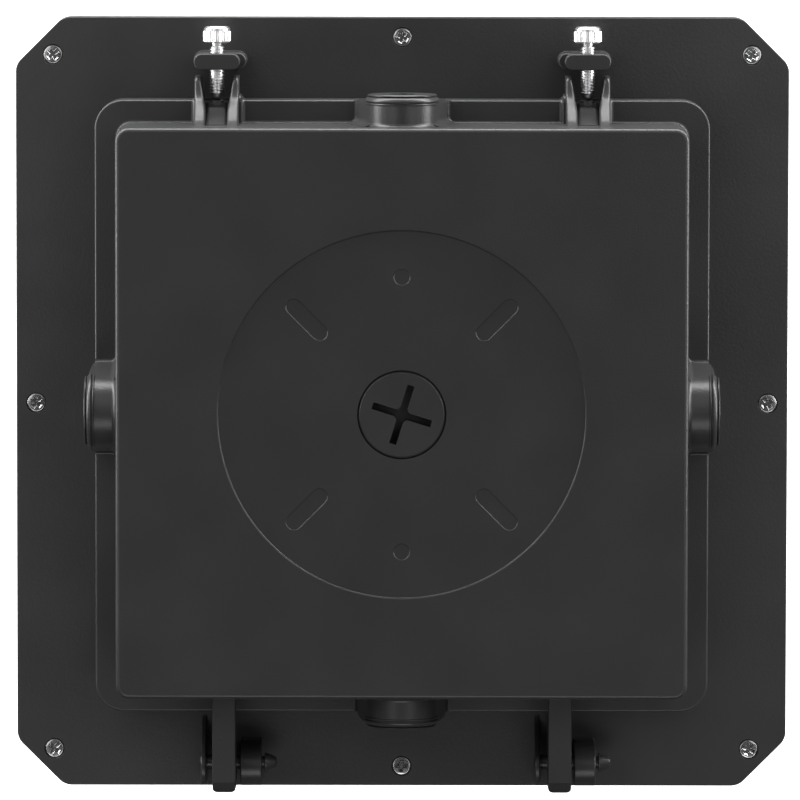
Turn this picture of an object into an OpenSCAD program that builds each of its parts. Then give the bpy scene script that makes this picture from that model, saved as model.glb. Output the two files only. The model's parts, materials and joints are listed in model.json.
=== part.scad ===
// Square surface-mount canopy light, ten-inch class.
// A die-cast junction box screws to the ceiling. The light head hangs from it on two hinges as a
// door, and two knurled cap screws hold the door shut. The head carries the driver, the light
// board and a drop lens. Millimetres. Origin at the centre of the ceiling face, +Z up into the
// ceiling, hinges on the -Y side, cap screws on the +Y side.

/* [Junction box] */
// Side of the square box, outside its walls
box_w = 185; // [166:0.5:210]
// Ceiling face down to the back of the door plate
box_depth = 45; // [42:0.5:60]
// Wall of the box casting
box_wall = 3; // [2:0.25:4]
// Thickness of the ceiling face
back_wall = 3.2; // [2.6:0.2:5]
// Corner radius of the box
box_corner_r = 4.4; // [3.6:0.2:12]
// How far the flange at the box mouth stands out from the box wall
flange_step = 7.5; // [6.5:0.25:9]
// Ceiling face down to the top of the flange
flange_drop = 30; // [28:0.5:32]
// Corner radius of the flange
flange_corner_r = 9.3; // [8:0.1:20]
// Wall of the flange
flange_wall = 3.5; // [2.5:0.25:4.5]
// Gap between the box rim and the door plate, which the box gasket fills
rim_gap = 1.6; // [1:0.1:2.5]

/* [Ceiling face] */
// Diameter of the shallow round recess
disc_d = 119.2; // [112:0.4:150]
// Depth of the round recess
disc_depth = 0.8; // [0.4:0.1:1]
// Distance between the two round drill points
drill_pitch = 88.9; // [70:0.1:96]
// Diameter of a drill point, and width of a drill slot
drill_d = 5.2; // [4:0.2:6]
// Depth of the drill points and slots below the recess
drill_depth = 1; // [0.6:0.1:1.2]
// Radius at which each slot's inner end is centred
slot_r_in = 37.5; // [32:0.5:42]
// Radius at which each slot's outer end is centred
slot_r_out = 49.2; // [45:0.2:52]

/* [Conduit entries] */
// Diameter of the rear entry's hole
rear_hole_d = 28.8; // [20:0.2:34]
// Height of the boss behind the rear entry, below the ceiling wall
rear_boss_h = 8.8; // [6:0.2:12]
// Wall of that boss
rear_boss_wall = 3.6; // [2.5:0.1:6]
// Depth of the rear plug
rear_plug_l = 10; // [6:0.5:14]
// Length of the cross slot in the rear plug
cross_l = 19.8; // [12:0.2:22]
// Width of the cross slot
cross_w = 2.3; // [1.5:0.1:3]
// Depth of the cross slot
cross_depth = 2.6; // [1:0.2:4]
// Turn of the cross slot where the plug came to rest, clockwise from above
cross_turn = 17.5; // [0:0.5:45]
// Diameter of a side hub
hub_d = 23.2; // [22.2:0.2:23.8]
// Diameter of the collar at a hub's mouth
hub_collar_d = 24.2; // [24:0.2:27]
// Box wall out to the mouth of a hub
hub_out = 9.5; // [8.5:0.25:12]
// Length of the collar
hub_collar_l = 1.3; // [0.6:0.1:1.5]
// Ceiling face down to the hub axis
hub_drop = 15; // [14:0.25:16.5]
// Diameter of a side entry's hole
side_hole_d = 19.8; // [16:0.2:20.2]
// Diameter of a side plug's rim
side_rim_d = 22.4; // [21:0.2:24]
// Thickness of a side plug's rim
side_rim_t = 1.1; // [0.6:0.1:2]
// Length of a side plug's shank
side_plug_l = 11; // [7:0.5:12.5]
// Half the width of the skirt that carries a hub, at its foot on the flange
skirt_half = 15.6; // [13:0.2:18]
// Turn from the top of the hub down to where the skirt leaves it
skirt_angle = 76; // [70:1:80]
// Clearance of each plug in its thread, per side
thread_gap = 0.05; // [0.02:0.01:0.1]

/* [Cap screws and forks] */
// Box wall in to the middle of each cap screw
latch_in = 32.2; // [28:0.1:45]
// Back of the door plate up to the cap screw axis
latch_h = 12.5; // [11.5:0.25:13]
// Width across a fork
fork_w = 14.4; // [13:0.2:18]
// Width of the groove between a fork's ribs
groove_w = 7; // [6:0.1:7.8]
// How far the ribs stand out from the flange
fork_reach = 7.8; // [6:0.1:8]
// Back of the door plate up to the ribs' flat tops
rib_h = 18; // [17:0.25:20]
// Radius of the hollow sweep from the ribs up to the box wall
rib_sweep_r = 12.9; // [8:0.1:14]
// Radius of the catch boss round the cap screw axis
catch_boss_r = 3.35; // [3.2:0.05:3.5]
// Depth of the catch hole
catch_depth = 3.4; // [3:0.1:4]
// Width of a door tab
tab_w = 15; // [12:0.25:20]
// Thickness of a door tab, along the cap screw
tab_t = 5.2; // [4:0.1:6]
// Height of a door tab
tab_h = 18; // [17:0.25:22]
// Gap between a tab and the ribs
tab_gap = 2.2; // [1.5:0.1:3]
// Extra width of a tab's shoulder towards the middle
tab_shoulder = 1.8; // [0.5:0.1:3]
// Height of that shoulder
tab_shoulder_h = 10; // [6:0.25:12]
// Thread diameter of the cap screws
cap_thread_d = 4.9; // [4:0.1:5.4]
// Running clearance of the cap screws, per side
cap_gap = 0.05; // [0.02:0.01:0.1]
// Length of a cap screw under its head
cap_l = 17.6; // [17:0.1:17.8]
// Length of the plain point at its end
cap_point_l = 1.3; // [0.8:0.1:2]
// Diameter of a cap screw's head
cap_head_d = 8.7; // [8:0.1:10]
// Height of a cap screw's head
cap_head_h = 5; // [4:0.1:6]
// Hexagon socket of a cap screw, across its flats
socket_af = 4; // [3:0.1:5]
// Depth of that socket
socket_depth = 2.6; // [1.5:0.1:3.5]
// How far each cap screw is backed out in the photo
cap_backoff = 3.4; // [3:0.1:3.6]

/* [Hinges] */
// Left box wall in to the middle of the left arm
arm_left_in = 34.7; // [28:0.1:44]
// Right box wall in to the middle of the right arm
arm_right_in = 40.9; // [33:0.1:46]
// Thickness of an arm
arm_t = 7.5; // [6:0.1:9]
// Ceiling face down to the top of the arms
arm_drop = 13; // [9:0.5:16]
// Flange edge out to the hinge axis
pin_out = 17.3; // [16:0.1:20]
// Back of the door plate up to the hinge axis
pin_h = 11; // [10.5:0.1:12]
// Radius of the arm around the pin
arm_end_r = 8; // [6.5:0.1:8.4]
// Depth of the slope at the arm's tip
arm_slope = 6; // [3:0.5:8]
// Radius of the door lugs around the pin
lug_r = 6.2; // [5.5:0.1:7]
// Thickness of the wide lug
lug_wide_t = 7.1; // [5:0.1:9]
// Thickness of the thin lug
lug_thin_t = 2.2; // [1.5:0.1:4]
// Gap between the arm and the wide lug
lug_gap = 1; // [0.5:0.1:1.5]
// Gap between the arm and the thin lug
lug_gap_thin = 2.4; // [0.5:0.1:3]
// Length of a lug's ramp towards the box
lug_ramp = 14.3; // [9:0.1:15]
// Diameter of a hinge pin
pin_d = 5; // [4:0.1:6]
// Running clearance of the pin in the arm, per side
pin_gap = 0.06; // [0.02:0.01:0.1]
// Diameter of the pin's snap head
pin_head_d = 6.7; // [6.2:0.1:8]
// Length of the pin's snap head
pin_head_l = 3.6; // [2.5:0.1:5]
// Length of the neck behind the snap head
pin_neck_l = 1.2; // [0.6:0.1:2]

/* [Light head] */
// How far the door plate reaches past the flange
plate_margin = 26.5; // [23.5:0.25:30]
// Corner cut of the plate, along each side
corner_cut = 15.5; // [8:0.25:17]
// Thickness of the door plate
plate_t = 4; // [3.4:0.1:6]
// Plate edge in to the middle screw of each side
edge_screw_in = 6.5; // [5.5:0.25:8]
// Plate edge in to the corner screws, along X and along Y
corner_screw_in = 12.2; // [12:0.1:14.5]
// Head diameter of a frame screw
frame_head_d = 5.7; // [5:0.1:6.2]
// Head height of a frame screw
frame_head_h = 1.2; // [0.8:0.1:1.6]
// Thread diameter of a frame screw
frame_thread_d = 3; // [2.5:0.1:3.6]
// Length of a frame screw below its head
frame_screw_l = 8.5; // [7:0.25:9.5]
// Clearance round a frame screw head, per side
frame_head_gap = 0.45; // [0.2:0.05:0.8]
// Height of the lens frame's outer side
frame_side_h = 5; // [4.2:0.2:8]
// Height of the whole lens frame
frame_h = 11; // [9.5:0.25:14]
// Width of the lens frame, from the plate edge in to its opening
frame_border = 22.5; // [20.5:0.25:26]
// Corner radius of the opening
frame_opening_r = 14; // [8:0.5:20]
// Width of the flat foot round the opening
frame_foot = 4; // [2:0.25:8]
// How far the lens flange reaches past the frame's opening
lens_flange_out = 7; // [5:0.25:8]
// Thickness of the lens flange and walls
lens_t = 2.5; // [2:0.1:3.5]
// Back of the door plate down to the lens face
lens_drop = 31; // [26:0.5:45]
// Gap between the lens and the frame opening, per side
lens_gap = 0.6; // [0.3:0.1:1.2]
// How far the lens walls lean in on their way down
lens_lean = 3.2; // [1:0.2:6]
// Height and depth of the bevel round the lens face
lens_bevel = 3; // [1:0.25:5]
// Height of the lens gasket
lens_gasket_h = 1.5; // [1:0.1:2.5]
// Width of the lens gasket
lens_gasket_w = 3; // [2:0.25:5]
// Width of the box gasket
box_gasket_w = 4; // [3:0.25:6]
// Free gap above the box gasket when the door is shut
box_gasket_gap = 0.3; // [0.2:0.05:0.5]

/* [Light board] */
// Frame opening in to the edge of the light board
board_in = 14; // [10:0.5:18]
// Thickness of the light board
board_t = 1.6; // [1:0.1:2]
// Light-emitting chips along each side
chip_rows = 8; // [4:2:10]
// Side of a chip
chip_w = 3; // [2:0.1:5]
// Height of a chip
chip_h = 0.7; // [0.4:0.1:1.2]
// Board edge in to the outer board screws
board_screw_in = 10; // [8:0.5:14]
// Head diameter of the board and driver screws
small_head_d = 5.6; // [5:0.1:6]
// Head height of the board and driver screws
small_head_h = 1.8; // [1.2:0.1:2.4]
// Depth of those screws in the door plate
small_bite = 3; // [2:0.1:3.2]

/* [Driver and leads] */
// Box wall's inner face in to each end of the driver case
driver_in = 24.5; // [22:0.5:30]
// Width of the driver case
driver_w = 44; // [34:1:48]
// Height of the driver case
driver_h = 27; // [20:0.5:29]
// Thickness of a driver end cap
cap_t = 5; // [3:0.5:6]
// Length of a driver foot past its end cap
foot_l = 9; // [8:0.25:10]
// Thickness of a driver foot
foot_t = 2.5; // [1.5:0.1:4]
// Diameter of the supply leads
supply_d = 2.6; // [2:0.1:3]
// Diameter of the output leads
output_d = 1.8; // [1.4:0.1:2.4]
// Height of the supply leads above the door plate
lead_h = 6; // [4:0.25:8]
// Distance between leads
lead_pitch = 6; // [4:0.25:7]
// Bend radius of the supply leads
lead_bend_r = 5; // [4:0.25:6]
// Length of the wire connector, along the leads
connector_l = 20; // [14:0.5:26]
// Height of the wire connector
connector_h = 11; // [8.6:0.25:14]
// Middle of the wire connector, from the middle of the light towards the cap screws
connector_y = 30; // [24:0.5:40]
// Diameter of the grommet's hole in the door plate
grommet_hole_d = 8; // [7:0.2:9]

/* [Hidden] */

black_coat = [0.20, 0.20, 0.21];
black_plastic = [0.13, 0.13, 0.14];
bright_steel = [0.78, 0.78, 0.80];
zinc_steel = [0.62, 0.62, 0.64];
grey_silicone = [0.55, 0.56, 0.58];
frosted = [0.93, 0.94, 0.95];

// Heights, all below the ceiling face.
plate_z = -box_depth;
plate_under_z = plate_z - plate_t;
rim_z = plate_z + rim_gap;
flange_z = -flange_drop;
flange_roof_z = flange_z - box_wall;
recess_z = -disc_depth;
hub_z = -hub_drop;
latch_z = plate_z + latch_h;
pin_z = plate_z + pin_h;
frame_bottom_z = plate_under_z - frame_h;
lens_flange_z = plate_under_z - lens_gasket_h;
lens_flange_bottom_z = lens_flange_z - lens_t;
lens_face_z = plate_z - lens_drop;
board_bottom_z = plate_under_z - board_t;
lead_z = plate_z + lead_h;

// Places in plan. The driver's middle lies between two rows of chips, as its leads come down there.
box_edge = box_w / 2;
flange_edge = box_edge + flange_step;
flange_w = 2 * flange_edge;
inner_edge = box_edge - box_wall;
hub_reach = box_edge + hub_out;
latch_x = box_edge - latch_in;
arm_left_x = arm_left_in - box_edge;
arm_right_x = box_edge - arm_right_in;
plate_edge = flange_edge + plate_margin;
plate_w = 2 * plate_edge;
edge_screw_out = plate_edge - edge_screw_in;
corner_screw_out = plate_edge - corner_screw_in;
frame_opening = plate_w - 2 * frame_border;
lens_flange_w = frame_opening + 2 * lens_flange_out;
board_w = frame_opening - 2 * board_in;
board_screw_out = board_w / 2 - board_screw_in;
chip_pitch = board_w / (chip_rows + 1);
flange_inner_edge = flange_edge - flange_wall;
rib_end_y = flange_edge + fork_reach;
tab_inner_y = rib_end_y + tab_gap;
tab_outer_y = tab_inner_y + tab_t;
cap_seat_y = tab_outer_y + cap_backoff;
pin_y = -(flange_edge + pin_out);
lug_end_y = pin_y + lug_ramp;
arm_tip_y = pin_y - arm_end_r;
driver_y = -2 * chip_pitch;
driver_l = 2 * (inner_edge - driver_in);
screw_places = [
  for (sx = [-1, 0, 1], sy = [-1, 0, 1])
    if (abs(sx) + abs(sy) > 0)
      abs(sx * sy) * corner_screw_out * [sx, sy] + (1 - abs(sx * sy)) * edge_screw_out * [sx, sy]
];
board_screw_places = [
  for (sx = [-1, 0, 1], sy = [-1, 0, 1])
    if (abs(sx) + abs(sy) != 1)
      board_screw_out * [sx, sy]
];

// Fits and small sizes.
overlap = 1;
cap_hole_r = cap_thread_d / 2 + cap_gap;
catch_play = 0.2;
catch_hole_r = cap_hole_r + catch_play;
rear_lip_gap = 0.45;
rear_lip_h = 1.2;
catch_boss_in = 2.2;
inner_corner_r = 2.9;
slice = 0.1;
rib_foot_h = 3;
arm_slope_run = 4;
side_socket_af = 8;
side_socket_depth = 4;
thread_tip = 0.6;
cap_point_d = 3.4;
bottom_gap = 0.2;
small_thread_d = 3;
thread_hole_d = small_thread_d + 2 * thread_gap;
free_hole_d = small_thread_d + 4 * thread_gap;
ground_boss_d = 11;
ground_boss_h = 7;
ground_in = 27.5;
ground_place = (inner_edge - ground_in) * [-1, 1];
ground_head_d = 8.8;
ground_head_h = 3;
ground_thread_d = 4.8;
ground_bite = 5;
ground_slot_w = 1.2;
grommet_flange = 2;
grommet_lip_h = 1.2;
output_bend_r = 2.5;
socket_l = 8;
socket_w = 9;
socket_h = 4;
socket_space = 4;
output_half = lead_pitch / 3;
supply_inset = 5;
connector_side = 1;
connector_w = 3 * lead_pitch + 2 * connector_side;
port_space = 0.5;
connector_x = driver_l / 2 - connector_l;
plug_bite = 4;
snap_tip_d = 3.4;
lead_space = 0.8;
gasket_inset = 0.2;
gasket_out = 2 * (flange_edge - gasket_inset);
lens_gasket_inset = 0.5;
board_corner_r = 3;
neck_cut = 0.5;
$fn = 64;

// A square with rounded corners, of exact straight lines and arcs.
module rounded_square(side, r) {
  square([side, side - 2 * r], center = true);
  square([side - 2 * r, side], center = true);
  for (sx = [-1, 1], sy = [-1, 1])
    translate([sx, sy] * (side / 2 - r)) circle(r);
}

// A rounded square block between two heights.
module rounded_block(side, r, z_low, z_high) {
  translate([0, 0, z_low]) linear_extrude(z_high - z_low) rounded_square(side, r);
}

// A rounded square ring between two heights.
module rounded_ring(side_out, r_out, side_in, r_in, z_low, z_high) {
  translate([0, 0, z_low]) linear_extrude(z_high - z_low) difference() {
    rounded_square(side_out, r_out);
    rounded_square(side_in, r_in);
  }
}

// The door's outline: a square with its corners cut off.
module cut_square(side, cut) {
  half = side / 2;
  polygon([
    [half, half - cut], [half - cut, half], [cut - half, half], [-half, half - cut],
    [-half, cut - half], [cut - half, -half], [half - cut, -half], [half, cut - half]
  ]);
}

// A thickness along X, centred on x_mid, of a profile drawn as Y and Z.
module side_plate(x_mid, thickness) {
  translate([x_mid - thickness / 2, 0, 0])
    rotate([90, 0, 90]) linear_extrude(thickness) children();
}

// A bar along Y between two places.
module bar_y(d, y_low, y_high) {
  translate([0, y_high, 0]) rotate([90, 0, 0]) cylinder(d = d, h = y_high - y_low);
}

// A bar along X between two places.
module bar_x(d, x_low, x_high) {
  translate([x_low, 0, 0]) rotate([0, 90, 0]) cylinder(d = d, h = x_high - x_low);
}

// Junction box: a square casting open towards the door, with its hubs, forks and hinge arms.

module box_shell() {
  difference() {
    union() {
      rounded_block(box_w, box_corner_r, flange_z - overlap, 0);
      rounded_block(flange_w, flange_corner_r, rim_z, flange_z);
    }
    rounded_block(2 * inner_edge, inner_corner_r, rim_z - overlap, -back_wall);
    rounded_block(2 * flange_inner_edge, flange_corner_r - flange_wall, rim_z - overlap, flange_roof_z);
  }
}

// The recess with two drill points, and drill slots on the diagonals for other ceiling boxes.
module ceiling_marks() {
  translate([0, 0, recess_z]) cylinder(d = disc_d, h = overlap - recess_z, $fn = 128);
  for (sy = [-1, 1])
    translate([0, sy * drill_pitch / 2, recess_z - drill_depth])
      cylinder(d = drill_d, h = drill_depth + overlap);
  for (turn = [45, 135, 225, 315]) rotate(turn) {
    for (r = [slot_r_in, slot_r_out])
      translate([r, 0, recess_z - drill_depth]) cylinder(d = drill_d, h = drill_depth + overlap);
    translate([slot_r_in, -drill_d / 2, recess_z - drill_depth])
      cube([slot_r_out - slot_r_in, drill_d, drill_depth + overlap]);
  }
}

// One conduit hub on the +Y side: a barrel with a collar, on a skirt that stands on the flange.
module hub_outside() {
  top_half = hub_d / 2 * sin(skirt_angle);
  top_z = hub_z + hub_d / 2 * cos(skirt_angle);
  translate([0, 0, hub_z]) {
    bar_y(hub_d, inner_edge, hub_reach);
    bar_y(hub_collar_d, hub_reach - hub_collar_l, hub_reach);
  }
  translate([0, flange_edge, 0]) rotate([90, 0, 0]) linear_extrude(flange_edge - inner_edge) polygon([
    [-skirt_half, flange_z - overlap], [-skirt_half, flange_z], [-top_half, top_z],
    [top_half, top_z], [skirt_half, flange_z], [skirt_half, flange_z - overlap]
  ]);
}

module hub_hole() {
  translate([0, 0, hub_z]) bar_y(side_hole_d, inner_edge - overlap, hub_reach + overlap);
}

// One rib of a fork, as a profile in Y and Z: flat at its end, swept up to the box wall.
module rib_profile() {
  difference() {
    polygon([
      [box_edge - overlap, flange_z - overlap], [box_edge - overlap, plate_z + rib_h + rib_sweep_r],
      [box_edge, plate_z + rib_h + rib_sweep_r],
      [box_edge + rib_sweep_r, plate_z + rib_h], [rib_end_y, plate_z + rib_h],
      [rib_end_y, plate_z + rib_foot_h], [flange_edge - overlap, plate_z + rib_foot_h],
      [flange_edge - overlap, flange_z - overlap]
    ]);
    translate([box_edge + rib_sweep_r, plate_z + rib_h + rib_sweep_r]) circle(rib_sweep_r, $fn = 96);
  }
}

module fork(x_mid) {
  rib_t = (fork_w - groove_w) / 2;
  for (side = [-1, 1]) side_plate(x_mid + side * (groove_w + rib_t) / 2, rib_t) rib_profile();
  translate([x_mid, 0, latch_z])
    bar_y(2 * catch_boss_r, flange_inner_edge - catch_boss_in, flange_edge);
  translate([x_mid, 0, latch_z]) bar_y(2 * catch_boss_r, box_edge - overlap, flange_edge);
}

module catch_hole(x_mid) {
  translate([x_mid, 0, latch_z])
    bar_y(2 * catch_hole_r, flange_edge - catch_depth, flange_edge + overlap);
}

// One hinge arm, as a profile in Y and Z, before its pin hole.
module arm_profile() {
  translate([pin_y, pin_z]) circle(arm_end_r, $fn = 96);
  polygon([
    [overlap - box_edge, -arm_drop], [arm_tip_y + arm_slope_run, -arm_drop],
    [arm_tip_y, -arm_drop - arm_slope], [arm_tip_y, pin_z], [pin_y, pin_z - arm_end_r],
    [overlap - flange_edge, pin_z - arm_end_r], [overlap - flange_edge, flange_z - overlap],
    [overlap - box_edge, flange_z - overlap]
  ]);
}

module junction_box() {
  color(black_coat) difference() {
    union() {
      box_shell();
      for (turn = [0, 90, 180, 270]) rotate(turn) hub_outside();
      for (x_mid = [-latch_x, latch_x]) fork(x_mid);
      for (x_mid = [arm_left_x, arm_right_x]) side_plate(x_mid, arm_t) arm_profile();
      translate([0, 0, -back_wall - rear_boss_h])
        cylinder(d = rear_hole_d + 2 * rear_boss_wall, h = rear_boss_h + overlap);
      translate([ground_place[0], ground_place[1], -back_wall - ground_boss_h])
        cylinder(d = ground_boss_d, h = ground_boss_h + overlap);
    }
    ceiling_marks();
    translate([0, 0, -back_wall - rear_boss_h - overlap])
      cylinder(d = rear_hole_d, h = rear_boss_h + back_wall + 2 * overlap);
    for (turn = [0, 90, 180, 270]) rotate(turn) hub_hole();
    for (x_mid = [-latch_x, latch_x]) catch_hole(x_mid);
    for (x_mid = [arm_left_x, arm_right_x])
      translate([0, pin_y, pin_z]) bar_x(pin_d + 2 * pin_gap, x_mid - arm_t, x_mid + arm_t);
    translate([ground_place[0], ground_place[1], -back_wall - ground_boss_h - overlap])
      cylinder(d = ground_thread_d + 2 * thread_gap, h = ground_bite + 2 * overlap);
  }
}

// Plugs that close the entries that no conduit uses, and the earthing screw.

module rear_plug() {
  shank_d = rear_hole_d - 2 * thread_gap;
  color(black_coat) difference() {
    union() {
      translate([0, 0, recess_z - rear_plug_l]) cylinder(d = shank_d, h = rear_plug_l - rear_lip_h);
      translate([0, 0, recess_z - rear_lip_h - overlap / 2])
        cylinder(d = rear_hole_d - 2 * rear_lip_gap, h = rear_lip_h + overlap / 2);
    }
    rotate(-cross_turn) for (turn = [0, 90]) rotate(turn)
      translate([-cross_l / 2, -cross_w / 2, recess_z - cross_depth])
        cube([cross_l, cross_w, cross_depth + overlap]);
  }
}

// A side plug in the +Y hub: a threaded shank, a rim on the collar and a hexagon socket.
module side_plug() {
  color(black_plastic) translate([0, 0, hub_z]) difference() {
    union() {
      bar_y(side_hole_d - 2 * thread_gap, hub_reach - side_plug_l, hub_reach + side_rim_t);
      bar_y(side_rim_d, hub_reach, hub_reach + side_rim_t);
    }
    translate([0, hub_reach + side_rim_t + overlap, 0]) rotate([90, 30, 0])
      cylinder(d = side_socket_af / cos(30), h = side_socket_depth + overlap, $fn = 6);
  }
}

module side_plug_top() { side_plug(); }
module side_plug_bottom() { rotate(180) side_plug(); }
module side_plug_left() { rotate(90) side_plug(); }
module side_plug_right() { rotate(270) side_plug(); }

module ground_screw() {
  seat_z = -back_wall - ground_boss_h;
  color("green") translate([ground_place[0], ground_place[1], seat_z]) difference() {
    union() {
      translate([0, 0, -ground_head_h]) cylinder(d = ground_head_d, h = ground_head_h);
      translate([0, 0, -overlap]) cylinder(d = ground_thread_d, h = ground_bite + overlap);
    }
    translate([-ground_head_d, -ground_slot_w / 2, -ground_head_h - overlap])
      cube([2 * ground_head_d, ground_slot_w, ground_head_h / 2 + overlap]);
  }
}

// Light head: the door plate with its tabs and lugs.

// A tab that takes a cap screw, with a shoulder on the side towards the middle.
module door_tab(x_mid) {
  end_r = tab_t / 2;
  y_mid = (tab_inner_y + tab_outer_y) / 2;
  inward = x_mid > 0 ? -1 : 1;
  translate([x_mid, y_mid, plate_z - overlap]) {
    linear_extrude(tab_h + overlap) {
      square([tab_w - tab_t, tab_t], center = true);
      for (sx = [-1, 1]) translate([sx * (tab_w / 2 - end_r), 0]) circle(end_r);
    }
    linear_extrude(tab_shoulder_h + overlap) {
      translate([inward * tab_shoulder / 2, 0])
        square([tab_w - tab_t + tab_shoulder, tab_t], center = true);
      translate([inward * (tab_w / 2 - end_r + tab_shoulder), 0]) circle(end_r);
    }
  }
}

// A hinge lug, as a profile in Y and Z: round over the pin, with a ramp towards the box.
module lug_profile() {
  ramp_x = lug_r * cos(45);
  translate([pin_y, pin_z]) circle(lug_r, $fn = 96);
  polygon([
    [pin_y - lug_r, pin_z], [pin_y - lug_r, plate_z - overlap], [lug_end_y, plate_z - overlap],
    [lug_end_y, plate_z + overlap], [pin_y + ramp_x, pin_z + ramp_x], [pin_y, pin_z]
  ]);
}

// Outer faces of the wide and the thin lug of the hinge whose arm is at arm_x.
function wide_end(arm_x) = arm_x + arm_t / 2 + lug_gap + lug_wide_t;
function thin_end(arm_x) = arm_x - arm_t / 2 - lug_gap_thin - lug_thin_t;

module hinge_lugs(arm_x) {
  side_plate(wide_end(arm_x) - lug_wide_t / 2, lug_wide_t) lug_profile();
  side_plate(thin_end(arm_x) + lug_thin_t / 2, lug_thin_t) lug_profile();
}

module door_housing() {
  color(black_coat) difference() {
    union() {
      translate([0, 0, plate_under_z]) linear_extrude(plate_t) cut_square(plate_w, corner_cut);
      for (x_mid = [-latch_x, latch_x]) door_tab(x_mid);
      for (arm_x = [arm_left_x, arm_right_x]) hinge_lugs(arm_x);
    }
    for (x_mid = [-latch_x, latch_x])
      translate([x_mid, 0, latch_z]) bar_y(2 * cap_hole_r, tab_inner_y - overlap, tab_outer_y + overlap);
    for (arm_x = [arm_left_x, arm_right_x])
      translate([0, pin_y, pin_z]) bar_x(pin_d, thin_end(arm_x) - overlap, wide_end(arm_x) + overlap);
    for (place = screw_places) translate([place[0], place[1], plate_z]) {
      translate([0, 0, -frame_head_h])
        cylinder(d = frame_head_d + 2 * frame_head_gap, h = 2 * frame_head_h);
      translate([0, 0, -plate_t - overlap])
        cylinder(d = frame_thread_d + 2 * thread_gap, h = plate_t + overlap);
    }
    for (place = board_screw_places) translate([place[0], place[1], plate_under_z - overlap])
      cylinder(d = thread_hole_d, h = small_bite + overlap);
    for (side = [-1, 1]) translate([side * driver_screw_x(), driver_y, plate_z - small_bite])
      cylinder(d = thread_hole_d, h = small_bite + overlap);
    translate([grommet_x(), driver_y, plate_under_z - overlap])
      cylinder(d = grommet_hole_d, h = plate_t + 2 * overlap);
  }
}

function driver_screw_x() = (driver_l + foot_l + overlap) / 2;
function grommet_x() = -(driver_l / 2 + foot_l + grommet_hole_d / 2 + grommet_flange + overlap);

// Silicone ring between the box rim and the door plate, bonded to the plate.
module box_gasket() {
  color(grey_silicone)
    rounded_ring(gasket_out, flange_corner_r, gasket_out - 2 * box_gasket_w,
      flange_corner_r - box_gasket_w, plate_z, rim_z - box_gasket_gap);
}

// Frame that clamps the lens up against the door plate, with its screws.

module lens_frame() {
  color(black_coat) difference() {
    hull() {
      translate([0, 0, plate_under_z - frame_side_h]) linear_extrude(frame_side_h)
        cut_square(plate_w, corner_cut);
      translate([0, 0, frame_bottom_z]) linear_extrude(overlap)
        rounded_square(frame_opening + 2 * frame_foot, frame_opening_r + frame_foot, $fn = 32);
    }
    rounded_block(frame_opening, frame_opening_r, frame_bottom_z - overlap, plate_under_z + overlap);
    rounded_block(lens_flange_w + 2 * lens_gap, frame_opening_r / 2, lens_flange_bottom_z,
      plate_under_z + overlap);
    for (place = screw_places)
      translate([place[0], place[1], plate_z - frame_head_h - frame_screw_l - thread_tip])
        cylinder(d = frame_thread_d + 2 * thread_gap, h = frame_screw_l + thread_tip);
  }
}

module frame_screws() {
  color(zinc_steel) for (place = screw_places) translate([place[0], place[1], plate_z]) difference() {
    union() {
      translate([0, 0, -frame_head_h]) cylinder(d = frame_head_d, h = frame_head_h);
      translate([0, 0, -frame_head_h - frame_screw_l])
        cylinder(d = frame_thread_d, h = frame_screw_l + overlap / 2);
    }
    for (turn = [0, 90]) rotate(turn)
      cube([frame_head_d / 2, frame_head_d / 8, frame_head_h], center = true);
  }
}

// Lens: a frosted polycarbonate tray with a flat flange, and its gasket.

module lens_gasket() {
  side = lens_flange_w - 2 * lens_gasket_inset;
  corner = frame_opening_r / 2;
  color(grey_silicone)
    rounded_ring(side, corner, side - 2 * lens_gasket_w, corner - lens_gasket_w, lens_flange_z,
      plate_under_z);
}

// A tray's solid: corner posts that lean in, then a bevel down to the face.
module tray_solid(side, r, z_top, z_face) {
  top_at = side / 2 - r;
  low_at = top_at - lens_lean;
  hull() for (sx = [-1, 1], sy = [-1, 1]) {
    translate([sx * top_at, sy * top_at, z_top - slice]) cylinder(r = r, h = slice, $fn = 32);
    translate([sx * low_at, sy * low_at, z_face + lens_bevel]) cylinder(r = r, h = slice, $fn = 32);
    translate([sx * low_at, sy * low_at, z_face]) cylinder(r = r - lens_bevel, h = slice, $fn = 32);
  }
}

module lens() {
  side = frame_opening - 2 * lens_gap;
  color(frosted) difference() {
    union() {
      rounded_block(lens_flange_w, frame_opening_r / 2, lens_flange_bottom_z, lens_flange_z);
      tray_solid(side, frame_opening_r - lens_gap, lens_flange_bottom_z + overlap, lens_face_z);
    }
    tray_solid(side - 2 * lens_t, frame_opening_r - lens_gap - lens_t, lens_flange_z + overlap,
      lens_face_z + lens_t);
  }
}

// Light board: an aluminium board with its chips, screws and socket.

module led_board() {
  color("white") difference() {
    rounded_block(board_w, board_corner_r, board_bottom_z, plate_under_z);
    for (place = board_screw_places) translate([place[0], place[1], board_bottom_z - overlap])
      cylinder(d = free_hole_d, h = board_t + 2 * overlap);
    translate([grommet_x(), driver_y, board_bottom_z - overlap])
      cylinder(d = grommet_hole_d + 2 * grommet_flange, h = board_t + 2 * overlap);
  }
}

module led_chips() {
  first = -((chip_rows - 1) * chip_pitch + chip_w) / 2;
  color("khaki") for (i = [0 : chip_rows - 1], j = [0 : chip_rows - 1])
    translate([first + i * chip_pitch, first + j * chip_pitch, board_bottom_z - chip_h])
      cube([chip_w, chip_w, chip_h]);
}

// A pan-head screw, head up, with its seat at the origin.
module small_screw(shank) {
  difference() {
    union() {
      cylinder(d = small_head_d, h = small_head_h);
      translate([0, 0, -shank]) cylinder(d = small_thread_d, h = shank + overlap / 2);
    }
    translate([0, 0, small_head_h]) for (turn = [0, 90]) rotate(turn)
      cube([small_head_d / 2, small_head_d / 8, small_head_h], center = true);
  }
}

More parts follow.
